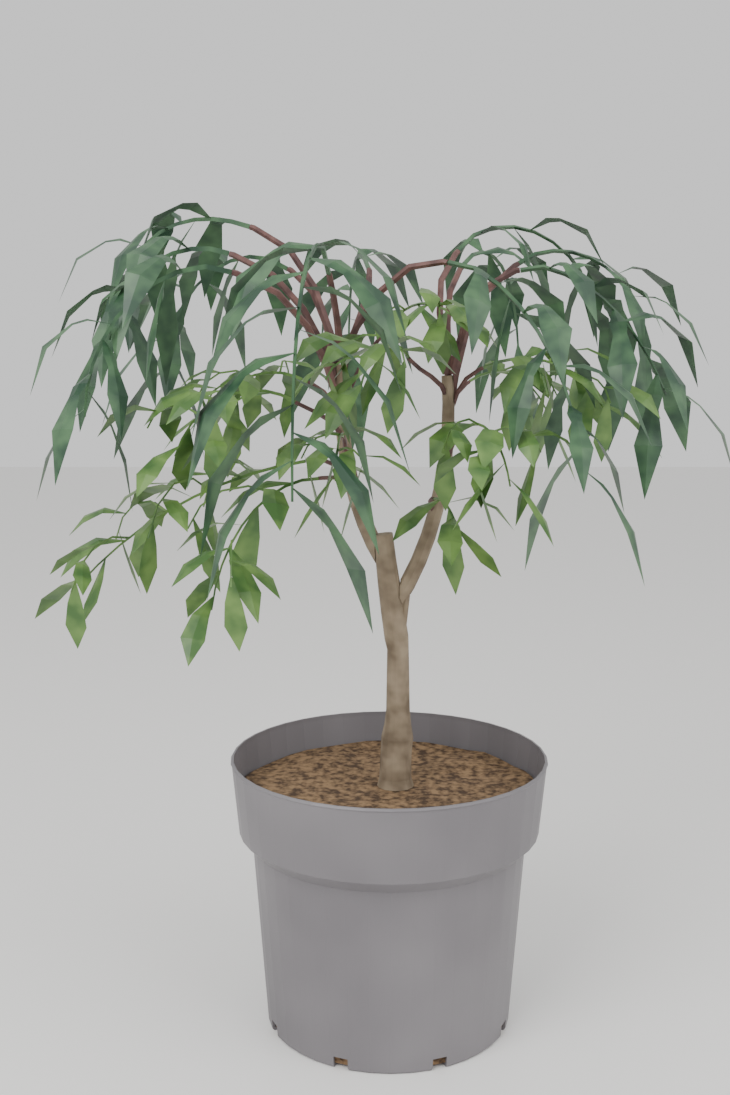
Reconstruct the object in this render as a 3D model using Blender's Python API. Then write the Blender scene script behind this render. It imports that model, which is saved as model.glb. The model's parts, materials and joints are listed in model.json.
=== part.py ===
"""A weeping, fern-leaved rowan grafted on a short stem, in a round nursery pot.

Metres, +Z up. The origin is the middle of the pot's flat underside, and -Y is the front.
The crown is an umbrella of shoots that rise a little, arch over and hang, with strap-like
lobed leaves. Inside it, short sprays carry smaller and finer leaves.
"""

import math
from collections import namedtuple

import bmesh
import bpy
import numpy as np
from mathutils.bvhtree import BVHTree

GAP = 0.0003  # between pieces that touch on the real plant
CLEAR = 0.0012  # between a leaf and the limbs and leaves of a neighbour
GOLDEN_TURN = 137.5  # degrees from one leaf of a spiral to the next
UP = np.array([0.0, 0.0, 1.0])

# The pot: a tapered body under a deep collar, turned from radii and heights.
POT_HEIGHT = 0.205
RIM_RADIUS = 0.1180
COLLAR_RADIUS = 0.1121
COLLAR_FOOT = 0.1500
SHOULDER_RADIUS = 0.1022
SHOULDER_HEIGHT = 0.1400
BASE_RADIUS = 0.0921
FOOT_ROUND = 0.0015
WALL = 0.0020
POT_FLOOR = 0.0025
LIP = 0.0028
POT_SIDES = 40
NOTCHES = 8
NOTCH_WIDTH = 0.0110
NOTCH_HEIGHT = 0.0090
NOTCH_DEPTH = 0.0060

# The compost that fills it, a little uneven and flat under the stem's foot.
SOIL_HEIGHT = 0.1812
SOIL_UNEVEN = 0.0022
SOIL_RINGS = (0.35, 0.7)  # of the soil's radius
FOOT_FLAT = 0.03  # radius of the level patch round the stem

# The stem: how far it leans sideways and how thick it is at each height above the origin.
STEM_FOOT = (0.0050, 0.0)
STEM_RINGS = (
    # height, lean in x from the foot, radius
    (SOIL_HEIGHT + GAP, 0.0000, 0.0138),
    (0.1880, -0.0002, 0.0120),
    (0.2050, 0.0002, 0.0116),
    (0.2190, 0.0012, 0.0119),
    (0.2290, 0.0015, 0.0100),
    (0.2400, 0.0016, 0.0088),
    (0.2860, 0.0014, 0.0080),
    (0.2950, 0.0003, 0.0089),
    (0.3160, -0.0028, 0.0086),
    (0.3340, -0.0052, 0.0082),
    (0.3520, -0.0075, 0.0076),
    (0.3720, -0.0100, 0.0073),
)
STEM_SIDES = 14
STUB_LEAN = 0.0078  # the cut stub of the stock, beside the graft
STUB_FOOT = 0.2960
STUB_TOP = 0.3330
STUB_RADIUS = 0.0030
STUB_FORWARD = 0.001
STUB_SINK = 0.004
STUB_SIDES = 8

# The two main boughs: start, heading, rise, fall, length, turn, bend.
MAIN_BOUGHS = {
    "left": ((-0.0030, 0.0020, 0.3500), 180, 60, 92, 0.150, 0, 0.8),
    "right": ((0.0025, 0.0000, 0.3180), -2, 58, 93, 0.176, 0, 0.8),
}
MAIN_BOUGH_RADII = (0.0063, 0.0042)
MAIN_BOUGH_SIDES = 8

# Each mass hangs from a bough of its own, which leaves the main bough `parent` at the share
# `leaves_at` of its length and ends at `tip`. The mass's stem goes on from there: it sets out
# at `heading`, in degrees from +X towards +Y, climbs at the slope `rise`, bends over to the
# slope `fall` and turns sideways by `turn` on the way.
Leaf = namedtuple("Leaf", "rib heading length roll twist")
Mass = namedtuple("Mass", "parent leaves_at tip heading rise fall length turn bend count size rank twigs")


def weeping(parent, leaves_at, tip, heading, rise, fall, length, turn, bend, count, size, rank=GOLDEN_TURN):
    """An arching shoot with `count` strap leaves of the length `size`, `rank` degrees apart."""
    return Mass(parent, leaves_at, tip, heading, rise, fall, length, turn, bend, count, size, rank, 0)


def spray(parent, leaves_at, tip, heading, rise, fall, length, turn, bend, count, size, twigs):
    """A short spray of finer leaves with side twigs, under the weeping shoots."""
    rank = GOLDEN_TURN
    return Mass(parent, leaves_at, tip, heading, rise, fall, length, turn, bend, count, size, rank, twigs)


WEEPING = {
    "front": weeping("left", 0.97, (-0.042, -0.045, 0.556), -99, 38, -87, 0.252, 6, 0.55, 14, 0.108, 180),
    "left_high": weeping("left", 0.93, (-0.101, 0.030, 0.592), 172, 16, -78, 0.124, 6, 1.2, 10, 0.092),
    "left_mid": weeping("left", 0.86, (-0.112, -0.015, 0.571), 180, 14, -80, 0.118, 14, 0.9, 10, 0.090),
    "left_front": weeping("left", 0.78, (-0.107, -0.052, 0.557), 192, 12, -84, 0.158, -6, 0.7, 12, 0.088),
    "back_left": weeping("left", 0.80, (-0.075, 0.060, 0.563), 138, 22, -80, 0.190, 10, 0.9, 12, 0.095),
    "back": weeping("left", 0.90, (-0.015, 0.070, 0.563), 100, 25, -82, 0.200, -8, 0.9, 12, 0.095),
    "back_right": weeping("right", 0.88, (0.055, 0.065, 0.565), 62, 25, -80, 0.195, 10, 0.9, 12, 0.095),
    "right_high": weeping("right", 0.97, (0.050, 0.030, 0.575), 22, 42, -75, 0.150, -10, 0.8, 10, 0.085),
    "right_back": weeping("right", 0.82, (0.094, 0.034, 0.566), 14, 28, -66, 0.132, 8, 0.8, 11, 0.092),
    "right_far": weeping("right", 0.92, (0.091, -0.004, 0.560), -6, 8, -66, 0.146, 4, 0.5, 12, 0.094),
    "right_front": weeping("left", 1.00, (0.038, -0.040, 0.564), -31, -12, -82, 0.186, 6, 0.6, 12, 0.088),
}
SPRAYS = {
    "low_left": spray("left", 0.42, (-0.060, -0.018, 0.427), 191, -10, -46, 0.186, -6, 1.0, 9, 0.058, 4),
    "front_left": spray("left", 0.62, (-0.066, -0.040, 0.470), 212, 25, -65, 0.110, 0, 1.0, 7, 0.062, 3),
    "low_front": spray("left", 0.34, (-0.050, -0.048, 0.418), 222, 0, -75, 0.135, 8, 0.9, 7, 0.062, 2),
    "mid_low": spray("left", 0.50, (-0.033, -0.036, 0.446), 266, 15, -60, 0.070, 0, 1.0, 6, 0.058, 2),
    "mid_front": spray("right", 0.90, (0.012, -0.040, 0.500), 244, 30, -60, 0.090, 0, 1.0, 7, 0.060, 3),
    "top_mid": spray("left", 0.74, (0.000, 0.018, 0.522), -50, 40, -40, 0.080, 0, 1.0, 7, 0.055, 3),
    "back_mid_left": spray("left", 0.66, (-0.060, 0.040, 0.480), 150, 20, -60, 0.110, 0, 1.0, 7, 0.062, 3),
    "back_mid_right": spray("right", 0.66, (0.060, 0.045, 0.480), 42, 20, -60, 0.110, 0, 1.0, 6, 0.062, 2),
    "right_mid": spray("right", 0.80, (0.066, -0.006, 0.492), -10, 22, -60, 0.100, 0, 1.0, 7, 0.062, 3),
    "right_low": spray("right", 0.56, (0.052, -0.032, 0.452), -70, 15, -65, 0.088, 0, 1.0, 7, 0.062, 3),
    "fork": spray("right", 0.40, (0.031, -0.018, 0.400), -66, 5, -60, 0.045, 0, 1.0, 5, 0.058, 0),
}
WEEPING_BOUGH_RADII = (0.0030, 0.0021)
SPRAY_BOUGH_RADII = (0.0020, 0.0014)
BOUGH_SIDES = 5
STRAIGHT_TIP = 0.003
WEEPING_TIP_RADIUS = 0.0009
SPRAY_TIP_RADIUS = 0.0007
TWIG_RADIUS = 0.0010
TWIG_STEPS = 4
TWIG_LEAVES = 3
STEM_STEPS = 9
FIRST_SEED = 32

# Leaves: where along its length a blade is how wide, as shares of length and half width.
STRAP_OUTLINE = ((0.0, 0.08), (0.20, 0.62), (0.32, 0.46), (0.60, 1.0), (1.0, 0.0))
FERN_OUTLINE = ((0.0, 0.10), (0.34, 0.72), (0.66, 1.0), (1.0, 0.0))
STRAP_SLIM = 0.108  # half width as a share of length
FERN_SLIM = 0.150
RIDGE = 0.17  # height of the blade's ridge as a share of its half width
LEAF_LEAST_THICK = 0.011  # as a share of its length
LEAF_BEND = 0.70
STRAP_LIFT = 0.40  # how strongly the light lifts a leaf's start
FERN_LIFT = 0.20
STRAP_FALL = -84  # the slope of its tip
FERN_FALL = -58
REACH = 0.125  # how far from its stem a mass's space goes

COLOURS = {
    # name: base colour, roughness
    "pot_plastic": ((0.125, 0.118, 0.128), 0.55),
    "compost": ((0.135, 0.078, 0.038), 0.95),
    "bark": ((0.235, 0.175, 0.110), 0.80),
    "young_bark": ((0.110, 0.050, 0.045), 0.60),
    "strap_leaf": ((0.042, 0.115, 0.058), 0.50),
    "fern_leaf": ((0.095, 0.190, 0.040), 0.50),
}


def clear_scene():
    for thing in list(bpy.data.objects):
        bpy.data.objects.remove(thing, do_unlink=True)


def material(name):
    """The Principled material of this finish, made once."""
    if name in bpy.data.materials:
        return bpy.data.materials[name]
    colour, roughness = COLOURS[name]
    made = bpy.data.materials.new(name)
    made.use_nodes = True
    shader = made.node_tree.nodes["Principled BSDF"]
    shader.inputs["Base Color"].default_value = (*colour, 1.0)
    shader.inputs["Roughness"].default_value = roughness
    shader.inputs["Metallic"].default_value = 0.0
    return made


def add_object(name, points, faces, finish, collection=None):
    """A named object from points and faces, in the scene or in the collection given."""
    mesh = bpy.data.meshes.new(name)
    mesh.from_pydata([tuple(point) for point in points], [], faces)
    mesh.materials.append(material(finish))
    made = bpy.data.objects.new(name, mesh)
    (collection or bpy.context.scene.collection).objects.link(made)
    return made


def apply_modifiers(made):
    """Replaces the object's mesh by what its modifiers make of it."""
    graph = bpy.context.evaluated_depsgraph_get()
    result = bpy.data.meshes.new_from_object(made.evaluated_get(graph))
    made.modifiers.clear()
    made.data = result


def empty_collection(collection):
    """Removes a helper collection with the objects in it."""
    for thing in list(collection.objects):
        bpy.data.objects.remove(thing, do_unlink=True)
    bpy.data.collections.remove(collection)


def helper_collection(name):
    made = bpy.data.collections.new(name)
    made.hide_render = True
    bpy.context.scene.collection.children.link(made)
    return made


def boolean(made, collection, operation, solver="EXACT"):
    """Joins or cuts the object with every object of the collection, and removes those."""
    cut = made.modifiers.new(operation.title(), "BOOLEAN")
    cut.operation = operation
    cut.operand_type = "COLLECTION"
    cut.collection = collection
    cut.solver = solver
    apply_modifiers(made)
    empty_collection(collection)


def keep_largest_body(made):
    """Drops loose scraps, and sealed hollows, which are bodies that face inwards."""
    shape = bmesh.new()
    shape.from_mesh(made.data)
    bmesh.ops.triangulate(shape, faces=shape.faces)
    unseen = set(shape.faces)
    bodies = []
    while unseen:
        body, edge = [], [unseen.pop()]
        while edge:
            face = edge.pop()
            body.append(face)
            for line in face.edges:
                for other in line.link_faces:
                    if other in unseen:
                        unseen.remove(other)
                        edge.append(other)
        volume = sum(
            face.verts[0].co.dot(face.verts[1].co.cross(face.verts[2].co)) for face in body
        )
        bodies.append((volume, len(bodies), body))
    bodies.sort(reverse=True)
    for _, _, body in bodies[1:]:
        bmesh.ops.delete(shape, geom=body, context="FACES")
    shape.to_mesh(made.data)
    shape.free()


def unit(vector):
    return vector / max(np.linalg.norm(vector), 1e-9)


def bent_path(start, heading, rise, fall, length, turn=0.0, bend=1.0, steps=STEM_STEPS):
    """Points of a stem that leaves at the slope `rise` and bends over to the slope `fall`."""
    share = np.linspace(0, 1, steps)
    slope = np.radians(rise + (fall - rise) * share**bend)
    way = np.radians(heading + turn * share)
    step = np.stack([np.cos(slope) * np.cos(way), np.cos(slope) * np.sin(way), np.sin(slope)], 1)
    return np.vstack([start, np.asarray(start) + np.cumsum(step * length / steps, axis=0)])


def curved_path(start, leave, end, arrive, steps=5):
    """Points of a cubic curve between two ends, which ends in a short straight run."""
    share = np.linspace(0, 1, steps)[:, None]
    tip = np.asarray(end)
    start, end = np.asarray(start), tip - unit(arrive) * STRAIGHT_TIP
    curve = (
        start * (2 * share**3 - 3 * share**2 + 1)
        + leave * (share**3 - 2 * share**2 + share)
        + end * (3 * share**2 - 2 * share**3)
        + arrive * (share**3 - share**2)
    )
    return np.vstack([curve, tip])


def point_along(path, share):
    """The point and the direction at this share of a path."""
    place = share * (len(path) - 1)
    index = min(int(place), len(path) - 2)
    step = path[index + 1] - path[index]
    return path[index] + step * (place - index), unit(step)


def direction(heading, slope):
    heading, slope = math.radians(heading), math.radians(slope)
    flat = math.cos(slope)
    return np.array([flat * math.cos(heading), flat * math.sin(heading), math.sin(slope)])


def tube_shape(path, radii, sides):
    """Points and faces of a closed tube with flat ends. Its section is carried without twist."""
    steps = np.diff(path, axis=0)
    ways = np.vstack([steps[:1], steps[:-1] + steps[1:], steps[-1:]])
    across = np.cross(unit(ways[0]), UP if abs(unit(ways[0])[2]) < 0.9 else np.array([0.0, 1.0, 0.0]))
    turn = 2 * np.pi * np.arange(sides)[:, None] / sides
    points = []
    for place, way, radius in zip(path, ways, radii):
        way = unit(way)
        across = unit(across - way * across.dot(way))
        points.extend(place + radius * (np.cos(turn) * across + np.sin(turn) * np.cross(way, across)))
    faces = [tuple(range(sides))[::-1], tuple(range(len(points) - sides, len(points)))]
    for ring in range(len(path) - 1):
        for side in range(sides):
            low = ring * sides + side
            next_low = ring * sides + (side + 1) % sides
            faces.append((low, next_low, next_low + sides, low + sides))
    return points, faces


def turned_shape(profile, sides, top_of=None):
    """Points and faces of a closed outline turned about Z. Its first and last points are on the axis.

    `top_of` may raise a point by its place, as on the uneven soil.
    """
    ways = [2 * math.pi * side / sides for side in range(sides)]
    points = [(0.0, 0.0, profile[0][1])]
    for radius, height in profile[1:-1]:
        for way in ways:
            x, y = radius * math.cos(way), radius * math.sin(way)
            points.append((x, y, top_of(x, y, height) if top_of else height))
    points.append((0.0, 0.0, profile[-1][1]))
    last = len(points) - 1
    faces = []
    for side in range(sides):
        after = (side + 1) % sides
        faces.append((0, 1 + after, 1 + side))
        for ring in range(len(profile) - 3):
            low = 1 + ring * sides
            faces.append((low + side, low + after, low + sides + after, low + sides + side))
        low = last - sides
        faces.append((low + side, low + after, last))
    return points, faces


def box_shape(sides, way, middle):
    """Points and faces of a box of these sides, turned about Z by `way` radians."""
    points = []
    for z in (-0.5, 0.5):
        for x, y in ((-0.5, -0.5), (0.5, -0.5), (0.5, 0.5), (-0.5, 0.5)):
            along, aside = x * sides[0], y * sides[1]
            points.append(
                (
                    middle[0] + along * math.cos(way) - aside * math.sin(way),
                    middle[1] + along * math.sin(way) + aside * math.cos(way),
                    middle[2] + z * sides[2],
                )
            )
    faces = [(3, 2, 1, 0), (4, 5, 6, 7)]
    faces += [(side, (side + 1) % 4, (side + 1) % 4 + 4, side + 4) for side in range(4)]
    return points, faces


def wall_radius(height):
    """The radius of the pot's inside at a height."""
    heights = (POT_FLOOR, SHOULDER_HEIGHT, COLLAR_FOOT, POT_HEIGHT)
    radii = (BASE_RADIUS, SHOULDER_RADIUS, COLLAR_RADIUS, RIM_RADIUS)
    return float(np.interp(height, heights, radii)) - WALL


def add_pot():
    """The pot as one turned wall and floor, with drainage notches round its foot."""
    outside = [
        (0.0, 0.0),
        (BASE_RADIUS - FOOT_ROUND, 0.0),
        (BASE_RADIUS, FOOT_ROUND),
        (SHOULDER_RADIUS, SHOULDER_HEIGHT),
        (COLLAR_RADIUS, COLLAR_FOOT),
        (RIM_RADIUS - LIP * 0.3, POT_HEIGHT - LIP * 0.9),
        (RIM_RADIUS, POT_HEIGHT - LIP * 0.5),
        (RIM_RADIUS - LIP * 0.3, POT_HEIGHT),
    ]
    inside = [
        (RIM_RADIUS - LIP * 0.8, POT_HEIGHT),
        (wall_radius(POT_HEIGHT - LIP), POT_HEIGHT - LIP),
        (wall_radius(COLLAR_FOOT), COLLAR_FOOT),
        (wall_radius(SHOULDER_HEIGHT), SHOULDER_HEIGHT),
        (wall_radius(POT_FLOOR), POT_FLOOR),
        (0.0, POT_FLOOR),
    ]
    pot = add_object("pot", *turned_shape(outside + inside, POT_SIDES), "pot_plastic")
    cutters = helper_collection("notch_cutters")
    for notch in range(NOTCHES):
        way = 2 * math.pi * (notch + 0.5) / NOTCHES
        sides = (2 * NOTCH_DEPTH, NOTCH_WIDTH, 2 * NOTCH_HEIGHT)
        middle = (BASE_RADIUS * math.cos(way), BASE_RADIUS * math.sin(way), 0.0)
        add_object(f"notch_{notch}", *box_shape(sides, way, middle), "pot_plastic", cutters)
    boolean(pot, cutters, "DIFFERENCE")
    pot.data.shade_smooth()
    pot.data.set_sharp_from_angle(angle=math.radians(25))


def soil_top(x, y, height):
    """Raises and lowers the soil's surface, and keeps it level round the stem."""
    if height < SOIL_HEIGHT - SOIL_UNEVEN:
        return height
    wave = math.sin(61 * x + 1.0) * math.cos(53 * y) + 0.5 * math.sin(97 * x - 83 * y)
    away = math.hypot(x - STEM_FOOT[0], y - STEM_FOOT[1]) / FOOT_FLAT - 1
    return height + SOIL_UNEVEN * 0.66 * wave * min(max(away, 0.0), 1.0)


def add_soil():
    """The compost, a plug that fits the inside of the pot just clear of it."""
    edge = wall_radius(SOIL_HEIGHT) - 2 * GAP
    profile = [(0.0, POT_FLOOR + GAP)]
    for height in (POT_FLOOR + GAP, SHOULDER_HEIGHT, COLLAR_FOOT):
        profile.append((wall_radius(height) - 2 * GAP, height))
    profile.append((wall_radius(SOIL_HEIGHT - 2 * SOIL_UNEVEN) - 2 * GAP, SOIL_HEIGHT - 2 * SOIL_UNEVEN))
    profile.append((edge - SOIL_UNEVEN, SOIL_HEIGHT))
    profile.extend((edge * share, SOIL_HEIGHT) for share in reversed(SOIL_RINGS))
    profile.append((0.0, SOIL_HEIGHT))
    soil = add_object("soil", *turned_shape(profile, POT_SIDES, soil_top), "compost")
    soil.data.shade_smooth()


def stem_path():
    foot_x, foot_y = STEM_FOOT
    return np.array([(foot_x + lean, foot_y, height) for height, lean, _ in STEM_RINGS])


def stub_limb():
    """The cut stub of the stock, its foot sunk in the stem."""
    top_x, top_y = STEM_FOOT[0] + STUB_LEAN, STEM_FOOT[1] - STUB_FORWARD
    foot = (top_x - STUB_SINK, top_y, STUB_FOOT)
    return Limb([foot, (top_x, top_y, STUB_TOP)], (STUB_RADIUS, STUB_RADIUS), STUB_SIDES)


def add_stem():
    """The short stem with its root flare, graft swelling and cut top, and the stock's stub."""
    radii = [radius for _, _, radius in STEM_RINGS]
    stem = add_object("trunk", *tube_shape(stem_path(), radii, STEM_SIDES), "bark")
    # The foot is cut level whatever the stem's lean.
    for corner in stem.data.vertices[:STEM_SIDES]:
        corner.co.z = STEM_RINGS[0][0]
    stubs = helper_collection("stub")
    add_object("stub", *stub_limb().shape(), "bark", stubs)
    boolean(stem, stubs, "UNION")
    stem.data.shade_smooth()
    stem.data.set_sharp_from_angle(angle=math.radians(45))


class Limb:
    """The path and radii of a stem, kept to cut its neighbours back from it."""

    def __init__(self, path, radii, sides):
        self.path = np.asarray(path)
        self.radii = np.linspace(*radii, len(path)) if len(radii) == 2 else np.asarray(radii)
        self.sides = sides

    def shape(self, grow=0.0):
        path = self.path.copy()
        if grow:
            path[0] -= unit(path[1] - path[0]) * grow
            path[-1] += unit(path[-1] - path[-2]) * grow
        return tube_shape(path, self.radii + grow, self.sides)


def add_limb(name, limb, neighbours, finish):
    """A bough cut back to a thin gap from the limbs that it grows out of or passes."""
    made = add_object(name, *limb.shape(), finish)
    tree = tree_of(*limb.shape(GAP))
    near = [other for other in neighbours if tree.overlap(tree_of(*other.shape(GAP)))]
    if near:
        cutters = helper_collection("limb_cutters")
        for index, other in enumerate(near):
            # A cutter's corners stand far enough out for its flat sides to keep the gap.
            grow = GAP + other.radii.max() * (1 / math.cos(math.pi / other.sides) - 1)
            add_object(f"cut_{index}", *other.shape(grow), "bark", cutters)
        boolean(made, cutters, "DIFFERENCE")
        keep_largest_body(made)
    made.data.shade_smooth()
    made.data.set_sharp_from_angle(angle=math.radians(60))


def tree_of(points, faces):
    return BVHTree.FromPolygons([tuple(point) for point in points], faces, epsilon=0.0)


def grow_leaf(path, share, rank, size, chance, strap):
    """The leaf at this share of a stem.

    It leaves between outwards and forwards, is lifted by the light and hangs over, and its
    blade rolls a little to one side. Towards the stem's tip the leaves close up round it.
    """
    place, way = point_along(path, share)
    side = unit(np.cross(way, UP))
    above = np.cross(side, way)
    turn = math.radians(rank + chance.uniform(-16, 16))
    spread = math.radians(62 + chance.uniform(-8, 8)) * (1 - 0.55 * share**5)
    out = math.cos(turn) * side + math.sin(turn) * above
    leave = unit(out * math.sin(spread) + way * math.cos(spread) + UP * (STRAP_LIFT if strap else FERN_LIFT))
    length = size * chance.uniform(0.80, 1.10)
    heading = math.degrees(math.atan2(leave[1], leave[0]))
    rise = math.degrees(math.asin(leave[2]))
    fall = min((STRAP_FALL if strap else FERN_FALL) + chance.uniform(-4, 10), rise)
    curl = chance.uniform(-25, 25)
    steps = 4 * (len(STRAP_OUTLINE if strap else FERN_OUTLINE) - 1)
    rib = bent_path(place, heading, rise, fall, length, curl, LEAF_BEND, steps)
    return Leaf(rib, heading + curl / 2, length, chance.uniform(-30, 30), chance.uniform(-12, 12))


def leaf_shape(leaf, outline, slim, grow=0.0):
    """A blade with a ridge along it: three points at each width of its outline, and a tip."""
    way = math.radians(leaf.heading)
    side = np.array([math.sin(way), -math.cos(way), 0.0])
    half = slim * leaf.length
    points, faces = [], []
    for share, width in outline[:-1]:
        place, way = point_along(leaf.rib, share)
        across = unit(side - way * side.dot(way))
        roll = math.radians(leaf.roll + leaf.twist * share)
        across = math.cos(roll) * across + math.sin(roll) * np.cross(across, way)
        over = np.cross(across, way)
        edge = half * width + grow
        least = LEAF_LEAST_THICK * leaf.length * min(1.0, 2 * width)
        ridge = max(half * width * RIDGE, least) + grow
        points += [place - across * edge - over * grow, place + across * edge - over * grow]
        points.append(place + over * ridge)
    points.append(leaf.rib[-1] + unit(leaf.rib[-1] - leaf.rib[-2]) * grow)
    tip = len(points) - 1
    faces.append((0, 1, 2))
    for ring in range(len(outline) - 2):
        low = 3 * ring
        for a, b in ((0, 1), (1, 2), (2, 0)):
            faces.append((low + a, low + a + 3, low + b + 3, low + b))
    low = tip - 3
    faces += [(low + a, tip, low + b) for a, b in ((0, 1), (1, 2), (2, 0))]
    return points, faces


def stem_of(mass, bough_tip_radius, tip_radius):
    """The three-sided stem of a mass, which starts just clear of its bough's tip."""
    start = np.asarray(mass.tip) + direction(mass.heading, mass.rise) * GAP
    path = bent_path(start, mass.heading, mass.rise, mass.fall, mass.length, mass.turn, mass.bend)
    return Limb(path, (bough_tip_radius, tip_radius), 3)


class Crown:
    """Grows the masses one by one and skips what would touch a limb or a neighbour."""

    def __init__(self, limbs, stems):
        self.stems = stems
        self.taken = {f"limb_{index}": tree_of(*limb.shape()) for index, limb in enumerate(limbs)}
        self.taken.update({name: tree_of(*stem.shape()) for name, stem in stems.items()})
        self.skipped = 0

    def is_free(self, shape, name):
        """True if a shape keeps to the mass's space and clear of all other limbs and masses."""
        stem = self.stems[name].path
        far = max(np.linalg.norm(stem - np.asarray(point), axis=1).min() for point in shape[0])
        tree = tree_of(*shape)
        touched = any(tree.overlap(other) for key, other in self.taken.items() if key != name)
        free = far < REACH and not touched
        self.skipped += not free
        return free

    def grow_mass(self, name, mass, seed, strap):
        """One mass: its stem, side twigs and leaves, fused in one body."""
        chance = np.random.default_rng(seed)
        stem = self.stems[name].path
        finish = "strap_leaf" if strap else "fern_leaf"
        outline, slim = (STRAP_OUTLINE, STRAP_SLIM) if strap else (FERN_OUTLINE, FERN_SLIM)
        shapes = []

        def add_leaf(path, share, index, size):
            leaf = grow_leaf(path, share, mass.rank * index, size, chance, strap)
            past_root = leaf._replace(rib=leaf.rib[1:])
            if self.is_free(leaf_shape(past_root, outline, slim, CLEAR), name):
                shapes.append(leaf_shape(leaf, outline, slim))

        for index in range(mass.count):
            add_leaf(stem, 0.10 + 0.90 * (index + 0.5) / mass.count, index, mass.size)
        for index in range(mass.twigs):
            share = 0.12 + 0.70 * (index + 0.5) / mass.twigs
            foot, way = point_along(stem, share)
            aside = (55 if index % 2 else -55) + chance.uniform(-15, 15)
            aside += math.degrees(math.atan2(way[1], way[0]))
            length = mass.length * (0.62 - 0.30 * share)
            twig = bent_path(foot, aside, chance.uniform(5, 35), -60, length, steps=TWIG_STEPS)
            radii = np.linspace(TWIG_RADIUS, SPRAY_TIP_RADIUS, len(twig))
            if self.is_free(tube_shape(twig[1:], radii[1:] + CLEAR, 3), name):
                shapes.append(tube_shape(twig, radii, 3))
                for step in range(TWIG_LEAVES):
                    add_leaf(twig, 0.35 + 0.65 * (step + 0.5) / TWIG_LEAVES, step, 0.9 * mass.size)

        made = add_object(f"leaves_{name}", *self.stems[name].shape(), finish)
        parts = helper_collection("leaves")
        for index, shape in enumerate(shapes):
            add_object(f"{name}_{index}", *shape, finish, parts)
        boolean(made, parts, "UNION", "MANIFOLD")
        keep_largest_body(made)
        self.taken[name] = BVHTree.FromObject(made, bpy.context.evaluated_depsgraph_get())
        print(f"{name}: {len(shapes)} twigs and leaves, {len(made.data.polygons)} faces")


def main():
    clear_scene()
    add_pot()
    add_soil()
    add_stem()

    limbs = [Limb(stem_path(), [radius for _, _, radius in STEM_RINGS], STEM_SIDES), stub_limb()]
    mains = {}
    for name, route in MAIN_BOUGHS.items():
        mains[name] = Limb(bent_path(*route), MAIN_BOUGH_RADII, MAIN_BOUGH_SIDES)
        add_limb(f"bough_main_{name}", mains[name], limbs, "bark")
        limbs.append(mains[name])

    stems = {}
    for group, radii, tip_radius in (
        (WEEPING, WEEPING_BOUGH_RADII, WEEPING_TIP_RADIUS),
        (SPRAYS, SPRAY_BOUGH_RADII, SPRAY_TIP_RADIUS),
    ):
        for name, mass in group.items():
            foot, way = point_along(mains[mass.parent].path, mass.leaves_at)
            reach = np.asarray(mass.tip) - foot
            span = np.linalg.norm(reach)
            leave = unit(way + 0.6 * unit(reach)) * span
            path = curved_path(foot, leave, mass.tip, direction(mass.heading, mass.rise) * span)
            limb = Limb(path, radii, BOUGH_SIDES)
            add_limb(f"bough_{name}", limb, limbs, "young_bark")
            limbs.append(limb)
            stems[name] = stem_of(mass, radii[-1], tip_radius)

    crown = Crown(limbs, stems)
    for index, (name, mass) in enumerate({**WEEPING, **SPRAYS}.items()):
        crown.grow_mass(name, mass, FIRST_SEED + index, name in WEEPING)
    print(f"{crown.skipped} twigs and leaves left out to keep the masses apart")


main()
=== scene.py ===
# %% [markdown]
# The potted weeping rowan, dressed for a studio view. The frame holds the CAD solids of the pot,
# the soil, the stem and the crown. This first version keeps them and gives each its finish.

# %% Load the frame
import math

import bpy
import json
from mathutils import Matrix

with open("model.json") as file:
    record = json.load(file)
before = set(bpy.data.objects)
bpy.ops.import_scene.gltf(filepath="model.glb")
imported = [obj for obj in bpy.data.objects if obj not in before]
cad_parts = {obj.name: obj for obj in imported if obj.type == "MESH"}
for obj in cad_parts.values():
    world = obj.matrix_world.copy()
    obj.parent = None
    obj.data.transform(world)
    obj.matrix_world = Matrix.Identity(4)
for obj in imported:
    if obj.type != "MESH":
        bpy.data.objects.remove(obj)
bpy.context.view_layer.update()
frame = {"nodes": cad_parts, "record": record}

# %% [markdown]
# Each finish is one material whose colour wanders a little with place, as plastic, bark and
# leaves do. The patterns are worked out from the object's own coordinates.

# %% Finishes
# name: dark colour, light colour, roughness, size of the pattern
FINISHES = {
    "pot_plastic": ((0.150, 0.140, 0.150), (0.190, 0.178, 0.188), 0.50, 9.0),
    "compost": ((0.050, 0.026, 0.012), (0.260, 0.160, 0.080), 0.95, 190.0),
    "bark": ((0.150, 0.110, 0.070), (0.300, 0.235, 0.160), 0.80, 60.0),
    "young_bark": ((0.060, 0.024, 0.022), (0.150, 0.070, 0.060), 0.60, 80.0),
    "strap_leaf": ((0.014, 0.050, 0.024), (0.060, 0.140, 0.060), 0.45, 55.0),
    "fern_leaf": ((0.040, 0.110, 0.020), (0.130, 0.240, 0.055), 0.45, 55.0),
}


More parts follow.
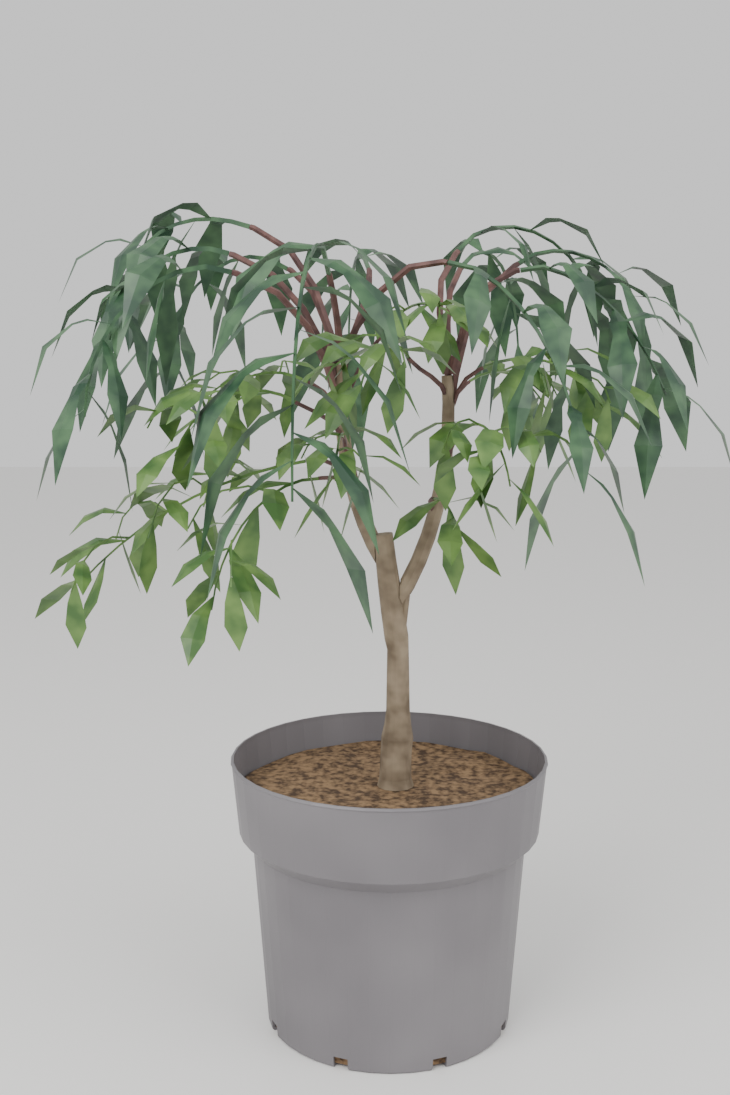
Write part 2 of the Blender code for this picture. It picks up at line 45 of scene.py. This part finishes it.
def finish(name):
    """A Principled material between two colours, mixed by noise in object coordinates."""
    dark, light, roughness, scale = FINISHES[name]
    made = bpy.data.materials.new(name)
    made.use_nodes = True
    nodes, links = made.node_tree.nodes, made.node_tree.links
    shader = nodes["Principled BSDF"]
    shader.inputs["Roughness"].default_value = roughness
    place = nodes.new("ShaderNodeTexCoord")
    noise = nodes.new("ShaderNodeTexNoise")
    noise.inputs["Scale"].default_value = scale
    ramp = nodes.new("ShaderNodeValToRGB")
    ramp.color_ramp.elements[0].position = 0.35
    ramp.color_ramp.elements[0].color = (*dark, 1.0)
    ramp.color_ramp.elements[1].position = 0.65
    ramp.color_ramp.elements[1].color = (*light, 1.0)
    links.new(place.outputs["Object"], noise.inputs["Vector"])
    links.new(noise.outputs["Fac"], ramp.inputs["Fac"])
    links.new(ramp.outputs["Color"], shader.inputs["Base Color"])
    return made


finishes = {name: finish(name) for name in FINISHES}
slots = {part["node"]: part["material_slot"] for part in frame["record"]["subparts"]}
for node, solid in frame["nodes"].items():
    solid.data.materials.clear()
    solid.data.materials.append(finishes[slots[node]])
print(len(slots), "nodes finished")

# %% [markdown]
# The plant stands on a pale floor under soft light, seen by a camera placed as the photograph's.

# %% Floor, light and camera
bpy.ops.mesh.primitive_plane_add(size=8.0)
floor = bpy.context.object
floor.name = "floor"
paper = bpy.data.materials.new("paper")
paper.use_nodes = True
paper.node_tree.nodes["Principled BSDF"].inputs["Base Color"].default_value = (0.85, 0.84, 0.82, 1.0)
floor.data.materials.append(paper)

for name, spot, power, size in (("key", (-0.9, -1.2, 1.6), 30.0, 1.2), ("fill", (1.2, -0.9, 1.1), 14.0, 1.4)):
    light = bpy.data.lights.new(name, "AREA")
    light.energy = power
    light.size = size
    lamp = bpy.data.objects.new(name, light)
    lamp.location = spot
    lamp.rotation_euler = (math.radians(48), 0.0, math.atan2(spot[0], -spot[1]))
    bpy.context.scene.collection.objects.link(lamp)

world = bpy.data.worlds.new("studio")
world.use_nodes = True
world.node_tree.nodes["Background"].inputs["Color"].default_value = (1.0, 1.0, 1.0, 1.0)
world.node_tree.nodes["Background"].inputs["Strength"].default_value = 0.9
bpy.context.scene.world = world

view = bpy.data.cameras.new("camera")
view.lens = 45.7
camera = bpy.data.objects.new("camera", view)
camera.location = (-0.0179, -0.9995, 0.526)
camera.rotation_euler = (math.radians(90 - 9.32), 0.0, 0.0)
bpy.context.scene.collection.objects.link(camera)
bpy.context.scene.camera = camera
